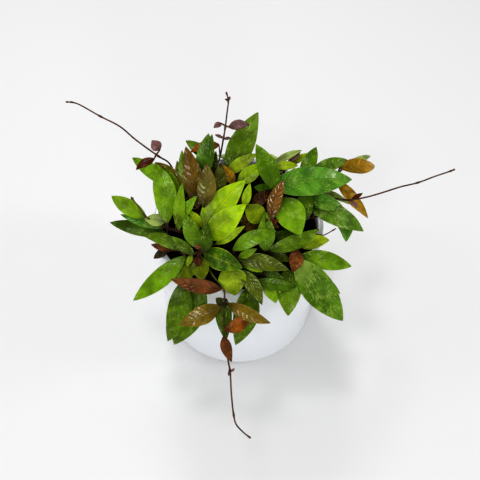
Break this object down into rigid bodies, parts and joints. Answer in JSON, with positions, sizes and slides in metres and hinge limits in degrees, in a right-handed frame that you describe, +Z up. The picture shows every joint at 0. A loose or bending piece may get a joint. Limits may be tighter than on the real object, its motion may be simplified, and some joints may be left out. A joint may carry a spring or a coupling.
{
  "type": "potted hoya plant",
  "caption": "Hoya with glossy lance-shaped leaves and long bare runners, in a round white planter with a dark nursery pot inside.",
  "frame": {"origin": "centre of the planter's underside, on the surface that it stands on", "axes": "+Z up along the planter's centre line, -Y towards the side that the longest trailing runner hangs over, +X to that side's right"},
  "size_m": [0.3091, 0.2683, 0.2424],
  "materials": {
    "white_glaze": "satin",
    "dark_plastic": "matte",
    "soil": "matte",
    "foliage": "gloss",
    "bark": "matte"
  },
  "bodies": {
    "root": {"planter": "white_glaze", "nursery_pot": "dark_plastic", "soil": "soil", "stem_centre_left": "foliage", "stem_left": "foliage", "stem_left_low": "foliage", "stem_back_left": "foliage", "stem_back": "foliage", "stem_back_middle": "foliage", "stem_back_right": "foliage", "stem_right_back": "foliage", "stem_right": "foliage", "stem_middle": "foliage", "stem_front_middle": "foliage", "stem_right_front": "foliage", "stem_front_right": "foliage", "stem_front_left": "foliage", "stem_far_right": "foliage", "stem_far_back_right": "foliage", "stem_far_back": "foliage", "stem_far_back_left": "foliage", "stem_far_left": "foliage", "runner_left": "bark", "runner_top": "bark", "runner_right": "bark", "runner_front": "bark"}
  },
  "joints": []
}
